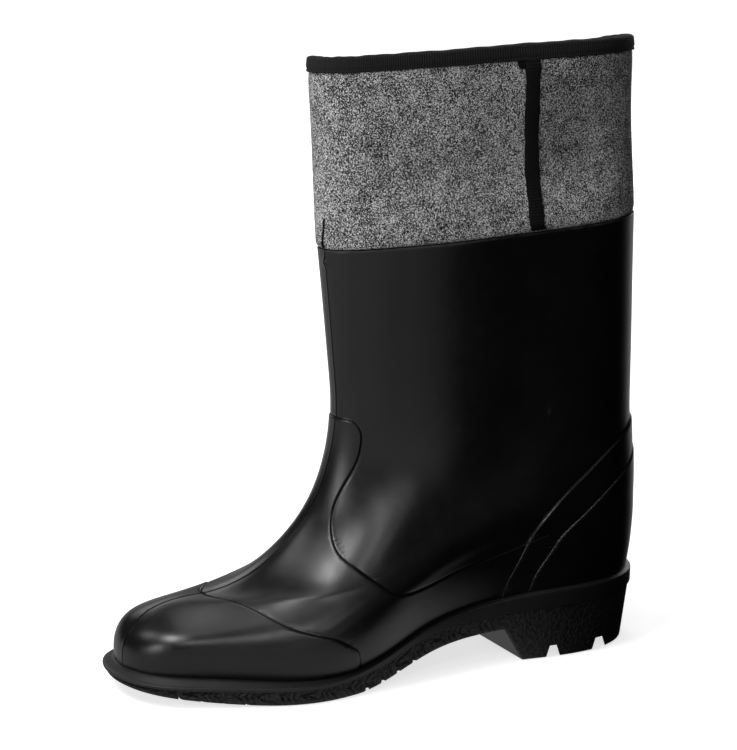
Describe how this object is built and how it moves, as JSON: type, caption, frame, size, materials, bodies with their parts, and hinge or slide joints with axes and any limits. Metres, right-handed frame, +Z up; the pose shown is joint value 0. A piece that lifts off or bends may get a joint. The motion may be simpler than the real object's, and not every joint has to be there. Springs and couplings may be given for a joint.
{
  "type": "felt-topped rubber boot",
  "caption": "Left calf boot: black moulded rubber foot and leg on a moulded sole with a heel, and a grey felt shaft with a black bound collar and a taped side seam.",
  "frame": {"origin": "On the floor under the middle of the boot's plan; the sole rests on Z = 0", "axes": "+Z up the leg, -Y towards the toe, +X towards the outer side of the left foot"},
  "size_m": [0.1102, 0.2974, 0.3306],
  "materials": {
    "upper": "satin",
    "outsole": "matte",
    "felt_shaft": "matte",
    "collar_binding": "matte",
    "seam_tape": "matte",
    "insole": "matte"
  },
  "bodies": {
    "root": {"upper": "upper", "outsole": "outsole", "felt_shaft": "felt_shaft", "collar_binding": "collar_binding", "seam_tape": "seam_tape", "insole": "insole"}
  },
  "joints": []
}
